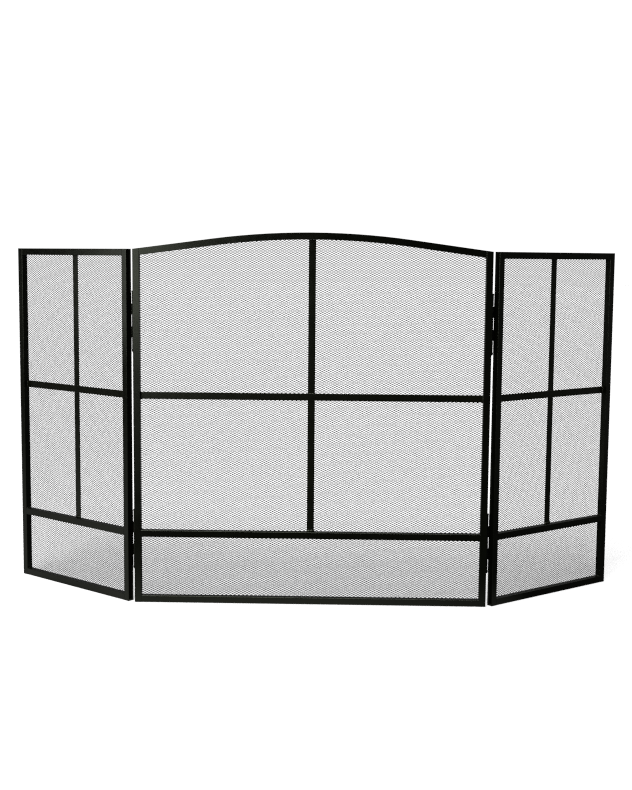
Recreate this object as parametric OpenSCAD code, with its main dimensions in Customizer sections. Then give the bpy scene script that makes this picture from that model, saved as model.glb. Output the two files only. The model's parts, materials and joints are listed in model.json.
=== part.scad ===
// Folding three-panel fireplace screen.
// Centre panel with an arched top, two flat-topped side panels hinged behind its stiles.
// Millimetres, +Z up, front faces -Y. Origin: middle of the underside of the centre bottom rail.

/* [Frame tube] */
// outside size of the square frame tube
tube = 13; // [12:0.5:14]
// wall thickness of the frame tube
wall = 1; // [0.8:0.1:1.5]
// outside edge radius of the frame tube
edge_r = 0.8; // [0.6:0.1:1.5]

/* [Centre panel] */
// overall width of the centre panel
centre_w = 678; // [660:1:720]
// height of the stiles at their outer edge, same on all panels
stile_h = 680; // [640:1:720]
// half width of the curved part of the arch, measured on its top
arc_half = 188; // [150:1:220]
// slope of the straight ends of the arch, in degrees
arch_slope = 7.7; // [6:0.1:9]

/* [Side panels] */
// overall width of each side panel
side_w = 327; // [300:1:328]
// angle each side panel is folded back from flat, as it stands
fold = 38.2; // [0:0.1:90]
// how far the upright bar sits from the panel's middle, towards the hinge
side_bar_shift = 2.5; // [0:0.5:4]

/* [Rails and bars] */
// height of the middle of the lower rail
lower_rail_z = 135; // [100:1:180]
// height of the middle of the cross bar
cross_bar_z = 402; // [350:1:450]
// face width of the flat bars
bar_w = 13.5; // [12:0.5:15]
// thickness of the flat bars
bar_t = 2; // [1.5:0.1:2.5]

/* [Mesh] */
// thickness of the sheet that stands for the expanded mesh
mesh_t = 0.3; // [0.3:0.1:0.8]
// how far the mesh laps onto the back of the frame
mesh_lap = 3; // [2:0.5:3]

/* [Hinges] */
// height of the underside of the lower hinge's knuckles
lower_hinge_z = 68; // [60:1:80]
// height of the underside of the upper hinge's knuckles
upper_hinge_z = 490; // [470:1:500]
// length of one knuckle with its share of the gaps
knuckle_pitch = 21.8; // [20:0.1:22]
// outside radius of the knuckles
knuckle_r = 3.6; // [3.4:0.1:3.8]
// radius of the hinge pin
pin_r = 2; // [1.8:0.1:2.2]
// thickness of the hinge leaves
leaf_t = 2; // [1.6:0.1:2.2]
// gap between the stiles when the panels stand in line
stile_gap = 2.2; // [1.8:0.1:3.5]

/* [Hidden] */
$fn = 64;
half_w = centre_w / 2;
back_y = tube / 2;
// the arch's outer line: straight ends tangent to one arc
arc_r = arc_half / sin(arch_slope);
tangent_z = stile_h + (half_w - arc_half) * tan(arch_slope);
arc_z = tangent_z - arc_r * cos(arch_slope);
// inside edge radius of the tube
inner_r = max(0.3, edge_r - 0.6 * wall);
// the hinge axis, as distances from the centre panel's outer edge and back face
axis_out = 0.5;
axis_back = 4.5;
axis_x = half_w + axis_out;
axis_y = back_y + axis_back;
bore_r = pin_r + 0.05;
knuckle_gap = 0.3;
stack_h = 5 * knuckle_pitch;
leaf_w = 5.9;
leaf_clear = 3.6;
head_r = 4.4;
upright_y = back_y - bar_t;
cross_y = back_y - 2 * bar_t;
frame_black = [0.10, 0.10, 0.09];
mesh_black = [0.16, 0.16, 0.16];
hinge_black = [0.07, 0.07, 0.07];

// ---- sections ----

module round_square(s, r) {
  square([s, s - 2 * r], center = true);
  square([s - 2 * r, s], center = true);
  for (i = [-1, 1], j = [-1, 1])
    translate([i * (s / 2 - r), j * (s / 2 - r)]) circle(r);
}

module tube_outer() {
  round_square(tube, edge_r);
}

module tube_inner() {
  round_square(tube - 2 * wall, inner_r);
}

// ---- tubes ----

// upright tube standing on z = 0, closed on top, open at the foot
module stile(h) {
  difference() {
    linear_extrude(h) tube_outer();
    translate([0, 0, -1]) linear_extrude(h + 1 - wall) tube_inner();
  }
}

// level tube along X, centred
module rail(len) {
  rotate([0, 90, 0]) difference() {
    linear_extrude(len, center = true) tube_outer();
    linear_extrude(len + 2, center = true) tube_inner();
  }
}

// region below the arch's outer line, moved in by d, out to +-x and down to z0
module crown_face(d, x, z0) {
  r = arc_r - d;
  a = r * sin(arch_slope);
  zt = arc_z + r * cos(arch_slope);
  ze = zt - (x - a) * tan(arch_slope);
  polygon([[-x, z0], [x, z0], [x, ze], [a, zt], [-a, zt], [-x, ze]]);
  intersection() {
    translate([0, arc_z]) circle(r, $fn = 256);
    translate([-a, zt - 1]) square([2 * a, r]);
  }
}

// plate in the XZ plane with its front at y
module plate_y(y, t) {
  translate([0, y + t, 0]) rotate([90, 0, 0]) linear_extrude(t) children();
}

// ---- centre panel ----

module centre_stile(s) {
  difference() {
    translate([s * (half_w - tube / 2), 0, 0]) difference() {
      linear_extrude(stile_h + 4) tube_outer();
      translate([0, 0, -1]) linear_extrude(stile_h + 1 - wall) tube_inner();
    }
    translate([s * half_w, 0, stile_h])
      rotate([0, s * arch_slope, 0])
        translate([-2 * tube, -tube, 0]) cube([4 * tube, 2 * tube, 20]);
  }
}

module centre_stile_left() {
  color(frame_black) centre_stile(-1);
}

module centre_stile_right() {
  color(frame_black) centre_stile(1);
}

// band between two lines parallel to the arch's outer line, out to +-x
module arch_band(d0, d1, x) {
  difference() {
    crown_face(d0, x, stile_h - 60);
    crown_face(d1, x + 1, stile_h - 61);
  }
}

module centre_arch_rail() {
  x = half_w - tube;
  color(frame_black) difference() {
    plate_y(-tube / 2, tube) arch_band(0, tube, x);
    plate_y(-tube / 2 + wall, tube - 2 * wall) arch_band(wall, tube - wall, x + 2);
  }
}

module centre_lower_rail() {
  color(frame_black) translate([0, 0, lower_rail_z]) rail(centre_w - 2 * tube);
}

module centre_bottom_rail() {
  color(frame_black) translate([0, 0, tube / 2]) rail(centre_w - 2 * tube);
}

module centre_cross_bar() {
  color(frame_black)
    translate([-(half_w - tube), cross_y, cross_bar_z - bar_w / 2])
      cube([centre_w - 2 * tube, bar_t, bar_w]);
}

module centre_upright_bar() {
  z0 = lower_rail_z + tube / 2;
  z1 = arc_z + arc_r - tube - 0.1;
  color(frame_black)
    translate([-bar_w / 2, upright_y, z0]) cube([bar_w, bar_t, z1 - z0]);
}

module centre_mesh() {
  color(mesh_black) plate_y(back_y, mesh_t)
    crown_face(tube - mesh_lap, half_w - tube + mesh_lap, tube - mesh_lap);
}

// ---- side panels, drawn flat beside the centre panel and then folded ----

// s = -1 is the left panel, +1 the right one; children are drawn at the right
module folded(s) {
  mirror([s < 0 ? 1 : 0, 0, 0])
    translate([axis_x, axis_y, 0]) rotate([0, 0, fold]) translate([-axis_x, -axis_y, 0])
      children();
}

side_x0 = half_w + stile_gap;
side_mid = side_x0 + side_w / 2;

module side_hinge_stile() {
  translate([side_x0 + tube / 2, 0, 0]) stile(stile_h);
}

module side_outer_stile() {
  translate([side_x0 + side_w - tube / 2, 0, 0]) stile(stile_h);
}

module side_rail(z) {
  translate([side_mid, 0, z]) rail(side_w - 2 * tube);
}

module side_cross_bar() {
  translate([side_x0 + tube, cross_y, cross_bar_z - bar_w / 2])
    cube([side_w - 2 * tube, bar_t, bar_w]);
}

module side_upright_bar() {
  z0 = lower_rail_z + tube / 2;
  translate([side_mid - side_bar_shift - bar_w / 2, upright_y, z0])
    cube([bar_w, bar_t, stile_h - tube - z0]);
}

module side_mesh() {
  translate([side_x0 + tube - mesh_lap, back_y, tube - mesh_lap])
    cube([side_w - 2 * (tube - mesh_lap), mesh_t, stile_h - 2 * (tube - mesh_lap)]);
}

module left_hinge_stile() {
  color(frame_black) folded(-1) side_hinge_stile();
}

module left_outer_stile() {
  color(frame_black) folded(-1) side_outer_stile();
}

module left_top_rail() {
  color(frame_black) folded(-1) side_rail(stile_h - tube / 2);
}

module left_lower_rail() {
  color(frame_black) folded(-1) side_rail(lower_rail_z);
}

module left_bottom_rail() {
  color(frame_black) folded(-1) side_rail(tube / 2);
}

module left_cross_bar() {
  color(frame_black) folded(-1) side_cross_bar();
}

module left_upright_bar() {
  color(frame_black) folded(-1) side_upright_bar();
}

module left_mesh() {
  color(mesh_black) folded(-1) side_mesh();
}

module right_hinge_stile() {
  color(frame_black) folded(1) side_hinge_stile();
}

module right_outer_stile() {
  color(frame_black) folded(1) side_outer_stile();
}

module right_top_rail() {
  color(frame_black) folded(1) side_rail(stile_h - tube / 2);
}

module right_lower_rail() {
  color(frame_black) folded(1) side_rail(lower_rail_z);
}

module right_bottom_rail() {
  color(frame_black) folded(1) side_rail(tube / 2);
}

module right_cross_bar() {
  color(frame_black) folded(1) side_cross_bar();
}

module right_upright_bar() {
  color(frame_black) folded(1) side_upright_bar();
}

module right_mesh() {
  color(mesh_black) folded(1) side_mesh();
}

// ---- hinges: leaves lie on the backs of the stiles, the barrel stands behind the gap ----

module knuckle(k) {
  translate([axis_x, axis_y, k * knuckle_pitch + knuckle_gap / 2])
    cylinder(r = knuckle_r, h = knuckle_pitch - knuckle_gap);
}

module bore() {
  translate([axis_x, axis_y, -1]) cylinder(r = bore_r, h = stack_h + 2);
}

// leaf on the centre panel's stile, with knuckles 0, 2 and 4
module fixed_leaf() {
  x1 = half_w - leaf_clear;
  difference() {
    union() {
      translate([x1 - leaf_w, back_y, 0]) cube([leaf_w, leaf_t, stack_h]);
      for (k = [0, 2, 4]) {
        knuckle(k);
        translate([x1 - 1, back_y, k * knuckle_pitch + knuckle_gap / 2])
          cube([leaf_clear + 0.5, leaf_t, knuckle_pitch - knuckle_gap]);
      }
    }
    bore();
  }
}

// leaf on the side panel's stile, with knuckles 1 and 3
module swing_leaf() {
  x0 = axis_x + leaf_clear;
  difference() {
    union() {
      translate([x0, back_y, 0]) cube([leaf_w, leaf_t, stack_h]);
      for (k = [1, 3]) {
        knuckle(k);
        translate([half_w + 1.5, back_y, k * knuckle_pitch + knuckle_gap / 2])
          cube([x0 - half_w, leaf_t, knuckle_pitch - knuckle_gap]);
      }
    }
    bore();
  }
}

// pin with a button head above the knuckles and a peened foot below
module hinge_pin() {
  translate([axis_x, axis_y, 0]) rotate_extrude()
    polygon([
      [0, -5.6], [2.6, -5.6], [3.9, -4.6], [head_r, -3.2], [head_r, 0], [pin_r, 0],
      [pin_r, stack_h], [head_r, stack_h], [head_r, stack_h + 1.3], [3.6, stack_h + 2.3],
      [0, stack_h + 2.3]
    ]);
}

module fixed_side(s) {
  mirror([s < 0 ? 1 : 0, 0, 0]) children();
}

module left_upper_hinge_fixed_leaf() {
  color(hinge_black) translate([0, 0, upper_hinge_z]) fixed_side(-1) fixed_leaf();
}

module left_upper_hinge_swing_leaf() {
  color(hinge_black) translate([0, 0, upper_hinge_z]) folded(-1) swing_leaf();
}

module left_upper_hinge_pin() {
  color(hinge_black) translate([0, 0, upper_hinge_z]) fixed_side(-1) hinge_pin();
}

module left_lower_hinge_fixed_leaf() {
  color(hinge_black) translate([0, 0, lower_hinge_z]) fixed_side(-1) fixed_leaf();
}

module left_lower_hinge_swing_leaf() {
  color(hinge_black) translate([0, 0, lower_hinge_z]) folded(-1) swing_leaf();
}

module left_lower_hinge_pin() {
  color(hinge_black) translate([0, 0, lower_hinge_z]) fixed_side(-1) hinge_pin();
}

module right_upper_hinge_fixed_leaf() {
  color(hinge_black) translate([0, 0, upper_hinge_z]) fixed_side(1) fixed_leaf();
}

module right_upper_hinge_swing_leaf() {
  color(hinge_black) translate([0, 0, upper_hinge_z]) folded(1) swing_leaf();
}

module right_upper_hinge_pin() {
  color(hinge_black) translate([0, 0, upper_hinge_z]) fixed_side(1) hinge_pin();
}

module right_lower_hinge_fixed_leaf() {
  color(hinge_black) translate([0, 0, lower_hinge_z]) fixed_side(1) fixed_leaf();
}

module right_lower_hinge_swing_leaf() {
  color(hinge_black) translate([0, 0, lower_hinge_z]) folded(1) swing_leaf();
}

module right_lower_hinge_pin() {
  color(hinge_black) translate([0, 0, lower_hinge_z]) fixed_side(1) hinge_pin();
}

centre_stile_left();
centre_stile_right();
centre_arch_rail();
centre_lower_rail();
centre_bottom_rail();
centre_cross_bar();
centre_upright_bar();
centre_mesh();
left_hinge_stile();
left_outer_stile();
left_top_rail();
left_lower_rail();
left_bottom_rail();
left_cross_bar();
left_upright_bar();
left_mesh();
right_hinge_stile();
right_outer_stile();
right_top_rail();
right_lower_rail();
right_bottom_rail();
right_cross_bar();
right_upright_bar();
right_mesh();
left_upper_hinge_fixed_leaf();
left_upper_hinge_swing_leaf();
left_upper_hinge_pin();
left_lower_hinge_fixed_leaf();
left_lower_hinge_swing_leaf();
left_lower_hinge_pin();
right_upper_hinge_fixed_leaf();
right_upper_hinge_swing_leaf();
right_upper_hinge_pin();
right_lower_hinge_fixed_leaf();
right_lower_hinge_swing_leaf();
right_lower_hinge_pin();
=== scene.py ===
import json
import math

import bmesh
import bpy
import numpy as np
from mathutils import Matrix, Vector


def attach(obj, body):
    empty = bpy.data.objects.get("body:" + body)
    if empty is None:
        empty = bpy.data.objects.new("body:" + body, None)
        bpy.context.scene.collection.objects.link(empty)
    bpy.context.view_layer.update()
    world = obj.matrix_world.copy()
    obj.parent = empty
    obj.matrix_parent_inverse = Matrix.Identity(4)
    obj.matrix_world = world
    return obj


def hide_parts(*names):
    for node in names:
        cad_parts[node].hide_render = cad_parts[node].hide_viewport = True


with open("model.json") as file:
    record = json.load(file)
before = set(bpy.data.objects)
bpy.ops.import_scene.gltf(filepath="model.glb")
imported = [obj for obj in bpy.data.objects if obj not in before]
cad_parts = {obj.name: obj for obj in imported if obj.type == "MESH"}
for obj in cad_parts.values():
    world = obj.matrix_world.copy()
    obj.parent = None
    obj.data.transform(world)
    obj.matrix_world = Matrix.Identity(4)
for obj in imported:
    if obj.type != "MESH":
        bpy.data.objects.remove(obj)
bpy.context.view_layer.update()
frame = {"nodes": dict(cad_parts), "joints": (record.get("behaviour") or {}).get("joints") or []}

NODES = frame["nodes"]
JOINTS = {j["name"]: j for j in frame["joints"]}
MM = 0.001

# ------------------------------------------------------------------ panels
# Each panel has a frame of its own: along runs across it, back points behind it.


class Panel:
    def __init__(self, name, side, fold_deg):
        a = math.radians(fold_deg)
        self.body, self.prefix, self.side = name + "_panel", name + "_", side
        if side == 0:
            self.along, self.back = Vector((1, 0, 0)), Vector((0, 1, 0))
        else:
            self.along = Vector((side * math.cos(a), math.sin(a), 0))
            self.back = Vector((-side * math.sin(a), math.cos(a), 0))

    def span(self, node):
        """Lowest and highest (along, back, z) of a CAD node in this panel's frame."""
        co = [v.co for v in NODES[self.prefix + node].data.vertices]
        p = np.array([(c.dot(self.along), c.dot(self.back), c.z) for c in co])
        return p.min(0), p.max(0)

    def world(self, p):
        """Points given as (along, back, z) in the row frame."""
        p = np.asarray(p, float).reshape(-1, 3)
        a, b = np.array(self.along), np.array(self.back)
        return p[:, :1] * a + p[:, 1:2] * b + p[:, 2:] * np.array((0, 0, 1.0))


PANELS = [
    Panel("centre", 0, 0),
    Panel("left", -1, -JOINTS["left_fold"]["range_deg"][0]),
    Panel("right", 1, -JOINTS["right_fold"]["range_deg"][0]),
]

# ------------------------------------------------------------------ shader nodes


def new_material(name):
    m = bpy.data.materials.new(name)
    m.use_nodes = True
    nt = m.node_tree
    return m, nt, nt.nodes["Principled BSDF"]


def add(nt, kind, **settings):
    n = nt.nodes.new(kind)
    for k, v in settings.items():
        setattr(n, k, v)
    return n


def noise(nt, coords, scale, detail):
    n = add(nt, "ShaderNodeTexNoise")
    n.inputs["Scale"].default_value = scale
    n.inputs["Detail"].default_value = detail
    n.inputs["Roughness"].default_value = 0.55
    nt.links.new(coords, n.inputs["Vector"])
    return n.outputs["Fac"]


def spread(nt, value, low, high, to_low, to_high):
    """The value's range low to high stretched to to_low to to_high, clamped at both ends."""
    n = add(nt, "ShaderNodeMapRange")
    n.inputs["From Min"].default_value = low
    n.inputs["From Max"].default_value = high
    n.inputs["To Min"].default_value = to_low
    n.inputs["To Max"].default_value = to_high
    nt.links.new(value, n.inputs["Value"])
    return n.outputs["Result"]


def combine(nt, operation, a, b):
    n = add(nt, "ShaderNodeMath", operation=operation)
    nt.links.new(a, n.inputs[0])
    nt.links.new(b, n.inputs[1])
    return n.outputs[0]


def mix_colour(nt, fac, a, b):
    """Mix of two colours, each a tuple or a node's output."""
    n = add(nt, "ShaderNodeMix", data_type="RGBA")
    nt.links.new(fac, n.inputs["Factor"])
    for label, colour in (("A", a), ("B", b)):
        socket = next(s for s in n.inputs if s.name == label and s.type == "RGBA")
        if isinstance(colour, tuple):
            socket.default_value = (*colour, 1)
        else:
            nt.links.new(colour, socket)
    return next(s for s in n.outputs if s.type == "RGBA")


def edge_mask(nt, radius):
    """1 along sharp outer edges, 0 on flat faces."""
    bevel = add(nt, "ShaderNodeBevel", samples=6)
    bevel.inputs["Radius"].default_value = radius
    geometry = add(nt, "ShaderNodeNewGeometry")
    dot = add(nt, "ShaderNodeVectorMath", operation="DOT_PRODUCT")
    nt.links.new(bevel.outputs["Normal"], dot.inputs[0])
    nt.links.new(geometry.outputs["Normal"], dot.inputs[1])
    return spread(nt, dot.outputs["Value"], 0.995, 0.86, 0.0, 1.0)


# ------------------------------------------------------------------ paints
# noise scales, per metre
TONE_SCALE, WEAR_AND_SHEEN_SCALE, GLOSS_SCALE = 14.0, 120.0, 45.0
GRAIN, MESH_GRAIN, WELD_GRAIN = 900.0, 1600.0, 1200.0
PEEL_SHARE = 0.55  # noise scale of the orange peel, as a share of the grain's
PEEL_DEPTH = 0.15 * MM
WEAR_AND_SHEEN_EDGE = 0.9 * MM
OLIVE, BLUISH = (0.92, 1.0, 0.80), (0.72, 0.86, 1.0)  # tints of the mirror reflection


def painted_metal(name, dark, light, rough, peel, wear_and_sheen, grain=GRAIN, tint=OLIVE):
    """Satin paint: slow change of tone, orange peel, and paler edges in places, which are a
    painted highlight on the frame and bars and rubbed paint on the hinges.
    """
    m, nt, bsdf = new_material(name)
    at = add(nt, "ShaderNodeTexCoord").outputs["Object"]
    tone = spread(nt, noise(nt, at, TONE_SCALE, 4.0), 0.3, 0.7, 0.0, 1.0)
    colour = mix_colour(nt, tone, dark, light)
    # paler edges in places: a painted edge highlight on the frame and bars, rubbed paint on the
    # hinges
    if wear_and_sheen > 0:
        wear_and_sheen_patch = spread(nt, noise(nt, at, WEAR_AND_SHEEN_SCALE, 3.0), 0.35, 0.75, 0.1, wear_and_sheen)
        wear_and_sheen_mask = combine(nt, "MULTIPLY", edge_mask(nt, WEAR_AND_SHEEN_EDGE), wear_and_sheen_patch)
        wear_and_sheen_colour = tuple(c * 3.2 + 0.012 for c in light)
        colour = mix_colour(nt, wear_and_sheen_mask, colour, wear_and_sheen_colour)
    nt.links.new(colour, bsdf.inputs["Base Color"])
    gloss = spread(nt, noise(nt, at, GLOSS_SCALE, 3.0), 0.3, 0.7, rough[0], rough[1])
    speck = spread(nt, noise(nt, at, grain, 2.0), 0.35, 0.65, -0.02, 0.02)
    nt.links.new(combine(nt, "ADD", gloss, speck), bsdf.inputs["Roughness"])
    bump = add(nt, "ShaderNodeBump")
    bump.inputs["Strength"].default_value = peel
    bump.inputs["Distance"].default_value = PEEL_DEPTH
    nt.links.new(noise(nt, at, grain * PEEL_SHARE, 2.0), bump.inputs["Height"])
    nt.links.new(bump.outputs["Normal"], bsdf.inputs["Normal"])
    bsdf.inputs["Specular Tint"].default_value = (*tint, 1)
    return m


# on the frame the paler edges are a painted highlight
FRAME_PAINT = painted_metal(
    "frame_paint",
    dark=(0.0012, 0.0014, 0.0006),
    light=(0.0024, 0.0027, 0.0012),
    rough=(0.17, 0.24),
    peel=0.25,
    wear_and_sheen=0.5,
)
# the frame's paint made lighter for the bars: painted light, for the brighter look their faces
# catch; their paler edges are a painted highlight too
BAR_PAINT_PAINTED_LIGHT = painted_metal(
    "bar_paint_painted_light",
    dark=(0.0022, 0.0025, 0.0011),
    light=(0.0038, 0.0042, 0.0020),
    rough=(0.19, 0.27),
    peel=0.25,
    wear_and_sheen=0.5,
)
MESH_PAINT = painted_metal(
    "mesh_paint",
    dark=(0.0030, 0.0034, 0.0042),
    light=(0.0062, 0.0068, 0.0080),
    rough=(0.28, 0.38),
    peel=0.2,
    wear_and_sheen=0.0,
    grain=MESH_GRAIN,
    tint=BLUISH,
)
HINGE_PAINT = painted_metal(
    "hinge_paint",
    dark=(0.0028, 0.0030, 0.0022),
    light=(0.0055, 0.0056, 0.0042),
    rough=(0.20, 0.30),
    peel=0.2,
    wear_and_sheen=0.7,
)
WELD_PAINT = painted_metal(
    "weld_paint",
    dark=(0.0030, 0.0034, 0.0016),
    light=(0.0070, 0.0074, 0.0040),
    rough=(0.24, 0.38),
    peel=0.8,
    wear_and_sheen=0.0,
    grain=WELD_GRAIN,
)

# ------------------------------------------------------------------ CAD tubes, bars and hinges
# Sharp edges get a small paint-rounded bevel. The CAD shapes themselves stay as they are.
TUBE_BEVEL, ARCH_BEVEL, BAR_BEVEL, HINGE_BEVEL = 0.15 * MM, 0.8 * MM, 0.35 * MM, 0.18 * MM


def dress(node, material, bevel):
    o = NODES[node]
    o.data.materials.clear()
    o.data.materials.append(material)
    if "custom_normal" in o.data.attributes:
        o.data.attributes.remove(o.data.attributes["custom_normal"])
    for p in o.data.polygons:
        p.use_smooth = True
    weld = o.modifiers.new("join", "WELD")
    weld.merge_threshold = 0.001 * MM
    flat = o.modifiers.new("flatten", "DECIMATE")
    flat.decimate_type = "DISSOLVE"
    flat.angle_limit = math.radians(0.5)
    b = o.modifiers.new("edge", "BEVEL")
    b.width = bevel
    b.segments = 2
    b.limit_method = "ANGLE"
    b.angle_limit = math.radians(40)
    b.use_clamp_overlap = True
    w = o.modifiers.new("shade", "WEIGHTED_NORMAL")
    w.keep_sharp = False
    w.weight = 80


for n in NODES:
    if n.endswith("_mesh"):
        continue
    if "_hinge_" in n and not n.endswith("stile"):
        dress(n, HINGE_PAINT, HINGE_BEVEL)
    elif n.endswith("_bar"):
        dress(n, BAR_PAINT_PAINTED_LIGHT, BAR_BEVEL)
    else:
        dress(n, FRAME_PAINT, ARCH_BEVEL if n == "centre_arch_rail" else TUBE_BEVEL)

# ------------------------------------------------------------------ expanded mesh
LONG_WAY = 8.12 * MM
SHORT_WAY = 4.34 * MM
STRAND = 0.76 * MM
SHEET = 0.22 * MM
BOND = 1.2 * MM  # length of a knuckle, where two strands join
LEAN = 0.18 * MM  # how far a strand's top edge lies behind its bottom edge
SKEW = 0.006  # the sheets are cut a hair out of square: rise of a row over its length
BOTTOM_MARGIN = 0.2 * MM
CROWN_MARGIN = 0.1 * MM


def zigzag(first, last, phase, z_mid):
    """Rings of four corners (along, back, z) of one strand from knuckle first to knuckle last."""
    half = LONG_WAY / 2
    rise = (SHORT_WAY / 2 - STRAND) / 2
    run = half - BOND
    shift = math.tan(math.atan2(2 * rise, run) / 2) * STRAND / 2
    m = np.arange(first, last + 1)
    up = np.where((m + phase) % 2 == 0, 1.0, -1.0)
    # each knuckle is two rings, one on each side of it; the outer two become the cut ends
    along = np.stack([m * half - BOND / 2, m * half + BOND / 2], 1).ravel()
    level = np.repeat(up, 2)
    slope = np.stack([-up, up], 1).ravel()
    slope[0] = slope[-1] = 0.0
    along[0], along[-1] = first * half, last * half
    rings = np.zeros((len(along), 4, 3))
    for k, (high, front) in enumerate(((1, 1), (1, -1), (-1, -1), (-1, 1))):
        rings[:, k, 0] = along + high * shift * slope
        rings[:, k, 1] = -level * LEAN / 2 + high * LEAN / 2 - front * SHEET / 2
        rings[:, k, 2] = z_mid + level * rise + high * STRAND / 2
    return rings


def build_mesh(name, points, faces, material):
    me = bpy.data.meshes.new(name)
    count = len(faces)
    me.vertices.add(len(points))
    me.vertices.foreach_set("co", np.asarray(points, np.float32).ravel())
    me.loops.add(count * 4)
    me.loops.foreach_set("vertex_index", np.asarray(faces, np.int32).ravel())
    me.polygons.add(count)
    me.polygons.foreach_set("loop_start", np.arange(0, count * 4, 4, dtype=np.int32))
    me.update(calc_edges=True)
    me.polygons.foreach_set("use_smooth", np.full(count, True))
    me.validate()
    o = bpy.data.objects.new(name, me)
    bpy.context.scene.collection.objects.link(o)
    o.data.materials.append(material)
    return o


def strand_faces(rings, start):
    """Quads that skin a strand's rings, whose first vertex has the index start."""
    n = len(rings)
    i = np.arange(n - 1)[:, None] * 4 + start
    faces = []
    for k in range(4):
        j = (k + 1) % 4
        faces.append(np.concatenate([i + k, i + 4 + k, i + 4 + j, i + j], 1))
    faces.append(np.array([[0, 1, 2, 3]]) + start)
    faces.append(np.array([[3, 2, 1, 0]]) + start + 4 * (n - 1))
    return faces


def crown_line(lo):
    """The centre sheet's top edge as (x, z) points, left to right. lo is its low corner."""
    above = lo[2] + 0.3
    top = [(v.co.x, v.co.z) for v in NODES["centre_mesh"].data.vertices if v.co.z > above]
    top = np.array(top)
    return top[np.argsort(top[:, 0])]


def mesh_sheet(panel, bays):
    """The panel's diamond mesh: one lattice, cut into bays along the bars that hide the cuts."""
    lo, hi = panel.span("mesh")
    half, step = LONG_WAY / 2, SHORT_WAY / 2
    count = int((hi[0] - lo[0]) / half + 1e-6)
    start = lo[0] + ((hi[0] - lo[0]) - count * half) / 2
    rows = int((hi[2] - lo[2]) / step)
    front = lo[1] + SHEET / 2 + LEAN
    crown = crown_line(lo) if panel.side == 0 else None
    bottom = lo[2] + BOTTOM_MARGIN
    for label, s0, s1, z0, z1 in bays:
        first = 0 if s0 is None else round((s0 - start) / half)
        last = count if s1 is None else round((s1 - start) / half)
        r0 = 0 if z0 is None else round((z0 - bottom) / step)
        r1 = rows if z1 is None else round((z1 - bottom) / step)
        points, faces, used = [], [], 0
        for r in range(r0, r1):
            z_mid = bottom + (r + 0.5) * step
            a, b = first, last
            if crown is not None and z_mid + step / 2 > crown[:, 1].min():
                m = np.arange(first, last + 1)
                limit = np.interp(start + m * half, crown[:, 0], crown[:, 1])
                under = m[limit > z_mid + step / 2 + CROWN_MARGIN]
                if len(under) < 2:
                    continue
                a, b = under.min(), under.max()
            rings = zigzag(a, b, r, z_mid)
            rings[:, :, 0] += start
            rings[:, :, 2] += SKEW * (rings[:, :, 0] - (lo[0] + hi[0]) / 2)
            rings[:, :, 1] += front
            faces += strand_faces(rings, used)
            points.append(rings.reshape(-1, 3))
            used += 4 * len(rings)
        points = panel.world(np.concatenate(points))
        faces = np.concatenate(faces)
        o = build_mesh(panel.prefix + "mesh_" + label, points, faces, MESH_PAINT)
        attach(o, panel.body)
        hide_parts(panel.prefix + "mesh")


def middle_height(panel, node):
    lo, hi = panel.span(node)
    return (lo[2] + hi[2]) / 2


for p in PANELS:
    cross = middle_height(p, "cross_bar")
    low = middle_height(p, "lower_rail")
    # name, then from and to along the panel, then from and to in height; None is the sheet's edge
    if p.side == 0:
        bays = [
            ("upper_left", None, 0.0, cross, None),
            ("upper_right", 0.0, None, cross, None),
            ("lower_left", None, 0.0, low, cross),
            ("lower_right", 0.0, None, low, cross),
            ("bottom", None, None, None, low),
        ]
    else:
        bays = [
            ("upper", None, None, cross, None),
            ("lower", None, None, low, cross),
            ("bottom", None, None, None, low),
        ]
    mesh_sheet(p, bays)

# ------------------------------------------------------------------ welds
RIPPLE = 0.9 * MM  # spacing of a bead's rings
AROUND = 10  # points in a ring
SQUASH = 0.75
TUBE_BEAD, ARCH_BEAD = 1.0 * MM, 1.1 * MM
BAR_END_BEAD, FOOT_BEAD, HEAD_BEAD, CROSSING_BEAD = 1.2 * MM, 1.6 * MM, 0.9 * MM, 0.7 * MM
FOOT_FILLET, END_FILLET = 2.2 * MM, 1.3 * MM
PAST = 0.4 * MM  # how far a bead runs past the edge of a bar

rng = np.random.default_rng(7)


def bead(start, end, radius):
    """A short rippled weld bead as rings of points, round at both ends."""
    start, end = Vector(start), Vector(end)
    d = end - start
    length = d.length
    d.normalize()
    side = d.orthogonal().normalized()
    other = d.cross(side)
    rings, n = [], max(7, int(length / RIPPLE))
    wander = rng.normal(0, 0.12 * radius, (n, 2))
    for i in range(n):
        t = i / (n - 1)
        cap = math.sqrt(max(0.0, 1 - abs(2 * t - 1) ** 5))
        r = radius * (0.25 + 0.75 * cap) * (1 + 0.10 * math.sin(i * 2.4) + rng.normal(0, 0.04))
        c = start + d * (t * length) + side * wander[i, 0] + other * wander[i, 1]
        ring = []
        for k in range(AROUND):
            turn = 2 * math.pi * k / AROUND
            ring.append(c + side * (r * math.cos(turn)) + other * (r * SQUASH * math.sin(turn)))
        rings.append(ring)
    return rings


def skin(beads, name, material):
    bm = bmesh.new()
    for rings in beads:
        vs = [[bm.verts.new(p) for p in ring] for ring in rings]
        k = len(vs[0])
        for a, b in zip(vs, vs[1:]):
            for i in range(k):
                bm.faces.new((a[i], a[(i + 1) % k], b[(i + 1) % k], b[i]))
        for end in (vs[0], vs[-1]):
            c = bm.verts.new(sum((v.co for v in end), Vector()) / k)
            for i in range(k):
                bm.faces.new((end[i], end[(i + 1) % k], c))
    bmesh.ops.recalc_face_normals(bm, faces=bm.faces)
    me = bpy.data.meshes.new(name)
    bm.to_mesh(me)
    bm.free()
    for p in me.polygons:
        p.use_smooth = True
    o = bpy.data.objects.new(name, me)
    bpy.context.scene.collection.objects.link(o)
    o.data.materials.append(material)
    return o


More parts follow.
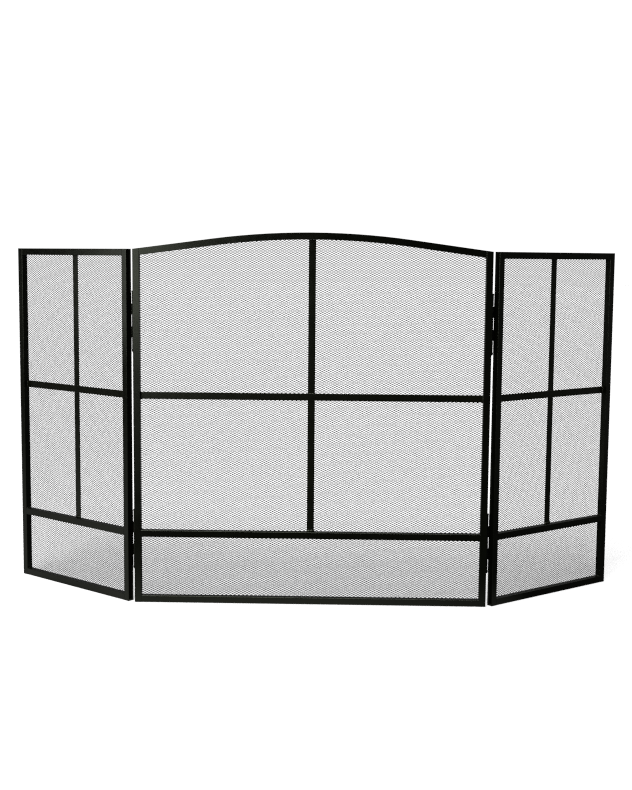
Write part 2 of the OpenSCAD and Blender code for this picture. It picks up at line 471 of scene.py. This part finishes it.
def panel_welds(panel):
    stiles = ["stile_left", "stile_right"] if panel.side == 0 else ["hinge_stile", "outer_stile"]
    spans = sorted((panel.span(s) for s in stiles), key=lambda x: x[0][0])
    inner = [spans[0][1][0], spans[1][0][0]]  # the two faces that look at each other
    tube_front, tube_back = spans[0][0][1] + 1.8 * MM, spans[0][1][1] - 1.0 * MM
    beads = []

    def line(s, b0, b1, z, r):
        a, b = panel.world([(s, b0, z), (s, b1, z)])
        beads.append(bead(a, b, r))

    # a rail has beads under it, over it or both
    rails = {"lower_rail": (0, 1), "bottom_rail": (1,)}
    if panel.side:
        rails["top_rail"] = (0,)
    for rail, edges in rails.items():
        span = panel.span(rail)
        for s in inner:
            for edge in edges:
                line(s, tube_front, tube_back, span[edge][2], TUBE_BEAD)
    if panel.side == 0:
        z = panel.span("arch_rail")[0][2] + 0.3 * MM
        for s in inner:
            line(s, tube_front, tube_back, z, ARCH_BEAD)
    lo, hi = panel.span("cross_bar")
    for s in inner:
        for z in (lo[2], hi[2]):
            line(s, lo[1] - PAST, hi[1] + PAST, z, BAR_END_BEAD)
    foot, head = panel.span("upright_bar")
    for z, r in ((foot[2], FOOT_BEAD), (head[2], HEAD_BEAD)):
        for s in (foot[0], head[0]):
            line(s, foot[1] - PAST, head[1], z, r)
    # the bars' crossing: a short bead across the upright, above and below the cross bar
    for z in (lo[2], hi[2]):
        ends = [(foot[0] + 2 * MM, foot[1], z), (head[0] - 2 * MM, foot[1], z)]
        a, b = panel.world(ends)
        beads.append(bead(a, b, CROSSING_BEAD))
    # fillets in front of the upright's foot and of the cross bar's ends
    z = foot[2] + 1.5 * MM
    front = foot[1] - 0.5 * MM
    a, b = panel.world([(foot[0] - 0.5 * MM, front, z), (head[0] + 0.5 * MM, front, z)])
    beads.append(bead(a, b, FOOT_FILLET))
    for s in inner:
        a, b = panel.world([(s, lo[1], lo[2] + 1 * MM), (s, lo[1], hi[2] - 1 * MM)])
        beads.append(bead(a, b, END_FILLET))
    o = skin(beads, panel.prefix + "weld_beads", WELD_PAINT)
    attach(o, panel.body)


for p in PANELS:
    panel_welds(p)

# ------------------------------------------------------------------ floor
FLOOR_ALBEDO, FLOOR_GLOW = 0.80, 0.52
FLOOR_HALF = 30
FLOOR_DROP = 0.3 * MM


def floor_paper_and_painted_glow():
    """White paper to the camera. The paint mirrors a darker floor that fades with distance: a
    painted glow that stands in for the lit floor, not light from the lamps.
    """
    m, nt, bsdf = new_material("floor_paper_and_painted_glow")
    bsdf.inputs["Base Color"].default_value = (FLOOR_ALBEDO, FLOOR_ALBEDO, FLOOR_ALBEDO, 1)
    bsdf.inputs["Roughness"].default_value = 0.9
    bsdf.inputs["Specular IOR Level"].default_value = 0.0
    bsdf.inputs["Emission Color"].default_value = (1, 1, 1, 1)
    bsdf.inputs["Emission Strength"].default_value = FLOOR_GLOW
    place = add(nt, "ShaderNodeSeparateXYZ")
    nt.links.new(add(nt, "ShaderNodeTexCoord").outputs["Object"], place.inputs[0])
    x, y = place.outputs["X"], place.outputs["Y"]
    # the painted glow stays light further out on the left, where the lamps stand
    across = combine(
        nt, "ADD", spread(nt, x, 0.0, 1.0, 0.0, 0.55), spread(nt, x, -0.4, -3.4, 0.0, 0.30)
    )
    # the painted glow darkens faster behind the screen than in front, and hardly at all in depth
    # on the left
    depth = combine(
        nt, "MAXIMUM", spread(nt, y, 0.0, 1.0, 0.0, 3.0), spread(nt, y, 0.0, -1.0, 0.0, 1.0)
    )
    depth = combine(nt, "MULTIPLY", depth, spread(nt, x, -0.6, -0.3, 0.12, 1.0))
    flat = add(nt, "ShaderNodeCombineXYZ")
    nt.links.new(across, flat.inputs["X"])
    nt.links.new(depth, flat.inputs["Y"])
    far = add(nt, "ShaderNodeVectorMath", operation="LENGTH")
    nt.links.new(flat.outputs[0], far.inputs[0])
    painted_floor_glow = spread(nt, far.outputs["Value"], 0.03, 0.30, 0.38, 0.035)
    # well behind the screen and to its right the painted glow is light again, for the faces
    # turned that way
    painted_floor_glow = combine(nt, "ADD", painted_floor_glow, spread(nt, y, 0.5, 1.2, 0.0, 0.30))
    painted_floor_glow = combine(nt, "ADD", painted_floor_glow, spread(nt, x, 1.0, 2.5, 0.0, 0.03))
    # the painted glow as an emission, seen only by rays that are not camera rays
    mirrored = add(nt, "ShaderNodeEmission")
    nt.links.new(painted_floor_glow, mirrored.inputs["Strength"])
    pick = add(nt, "ShaderNodeMixShader")
    nt.links.new(add(nt, "ShaderNodeLightPath").outputs["Is Camera Ray"], pick.inputs[0])
    nt.links.new(mirrored.outputs[0], pick.inputs[1])
    nt.links.new(bsdf.outputs[0], pick.inputs[2])
    out = next(n for n in nt.nodes if n.type == "OUTPUT_MATERIAL")
    nt.links.new(pick.outputs[0], out.inputs["Surface"])
    return m


def stage_floor():
    bm = bmesh.new()
    bmesh.ops.create_grid(bm, x_segments=4, y_segments=4, size=FLOOR_HALF)
    me = bpy.data.meshes.new("floor")
    bm.to_mesh(me)
    bm.free()
    o = bpy.data.objects.new("floor", me)
    o.location = (0, 0, -FLOOR_DROP)
    bpy.context.scene.collection.objects.link(o)
    o.data.materials.append(floor_paper_and_painted_glow())


stage_floor()

# ------------------------------------------------------------------ lights


def aim(o, direction):
    o.rotation_mode = "QUATERNION"
    o.rotation_quaternion = Vector(direction).to_track_quat("-Z", "Y")
    bpy.context.scene.collection.objects.link(o)


def area(name, at, to, size, radiance):
    light = bpy.data.lights.new(name, "AREA")
    light.shape = "RECTANGLE"
    light.size, light.size_y = size
    light.energy = radiance * math.pi * size[0] * size[1]
    o = bpy.data.objects.new(name, light)
    o.location = at
    o.visible_camera = False
    aim(o, Vector(to) - Vector(at))


# the softbox is mirrored high up on the centre panel's left stile
area("softbox", (-1.36, -2.35, 1.15), (-0.64, 0, 1.15), (1.5, 1.6), 1.9)
area("left_wall", (-1.7, -1.03, 1.22), (0, -1.03, 1.22), (2.0, 1.6), 1.2)
area("edge_light", (-1.9, -2.8, 1.0), (-0.3, 0, 0.6), (0.3, 1.2), 8)

sky = bpy.data.lights.new("sky", "SUN")
sky.energy = 1.87
sky.angle = math.radians(30)
aim(bpy.data.objects.new("sky", sky), (0.22, 0.85, -1.15))

# ------------------------------------------------------------------ world
BACKDROP = 1.05  # what the camera sees


def studio_world():
    """White to the camera. Mirrored, it is light behind and high up, a little from the right."""
    world = bpy.data.worlds.new("studio")
    bpy.context.scene.world = world
    world.use_nodes = True
    wt = world.node_tree
    split = add(wt, "ShaderNodeSeparateXYZ")
    wt.links.new(add(wt, "ShaderNodeTexCoord").outputs["Generated"], split.inputs[0])
    behind = spread(wt, split.outputs["Y"], 0.05, 0.4, 0.012, 0.9)
    high = spread(wt, split.outputs["Z"], 0.40, 0.75, 0.12, 1.0)
    right = spread(wt, split.outputs["X"], 0.6, 0.95, 0.0, 0.035)
    both = combine(wt, "ADD", combine(wt, "MULTIPLY", behind, high), right)
    mixer = add(wt, "ShaderNodeMix", data_type="FLOAT")
    wt.links.new(add(wt, "ShaderNodeLightPath").outputs["Is Camera Ray"], mixer.inputs["Factor"])
    wt.links.new(both, mixer.inputs["A"])
    mixer.inputs["B"].default_value = BACKDROP
    background = wt.nodes["Background"]
    wt.links.new(mixer.outputs["Result"], background.inputs["Strength"])
    background.inputs["Color"].default_value = (1, 1, 1, 1)


studio_world()

# ------------------------------------------------------------------ camera
LENS, SENSOR = 57.117, 36  # millimetres, the sensor along the frame's long side
CAMERA_AT = Vector((0.0612, -2.3692, 0.6683))
YAW, PITCH, ROLL = -0.02206, 0.1100, -0.00843


def place_camera():
    data = bpy.data.cameras.new("camera")
    data.sensor_width = SENSOR
    data.lens = LENS
    data.clip_start, data.clip_end = 0.05, 100
    cam = bpy.data.objects.new("camera", data)
    bpy.context.scene.collection.objects.link(cam)
    level = Vector((math.sin(YAW), math.cos(YAW), 0)) * math.cos(PITCH)
    look = level - Vector((0, 0, math.sin(PITCH)))
    right = Vector((math.cos(YAW), -math.sin(YAW), 0))
    down = look.cross(right)
    rolled_right = right * math.cos(ROLL) + down * math.sin(ROLL)
    rolled_down = down * math.cos(ROLL) - right * math.sin(ROLL)
    turn = Matrix((rolled_right, -rolled_down, -look)).transposed().to_4x4()
    cam.matrix_world = Matrix.Translation(CAMERA_AT) @ turn
    bpy.context.scene.camera = cam


place_camera()

view = bpy.context.scene.view_settings
view.view_transform = "Standard"
view.look = "None"
# the denoiser smears mesh this fine into patches, and a narrower filter keeps it crisp
bpy.context.scene.cycles.filter_width = 1.2
bpy.context.scene.cycles.use_denoising = False
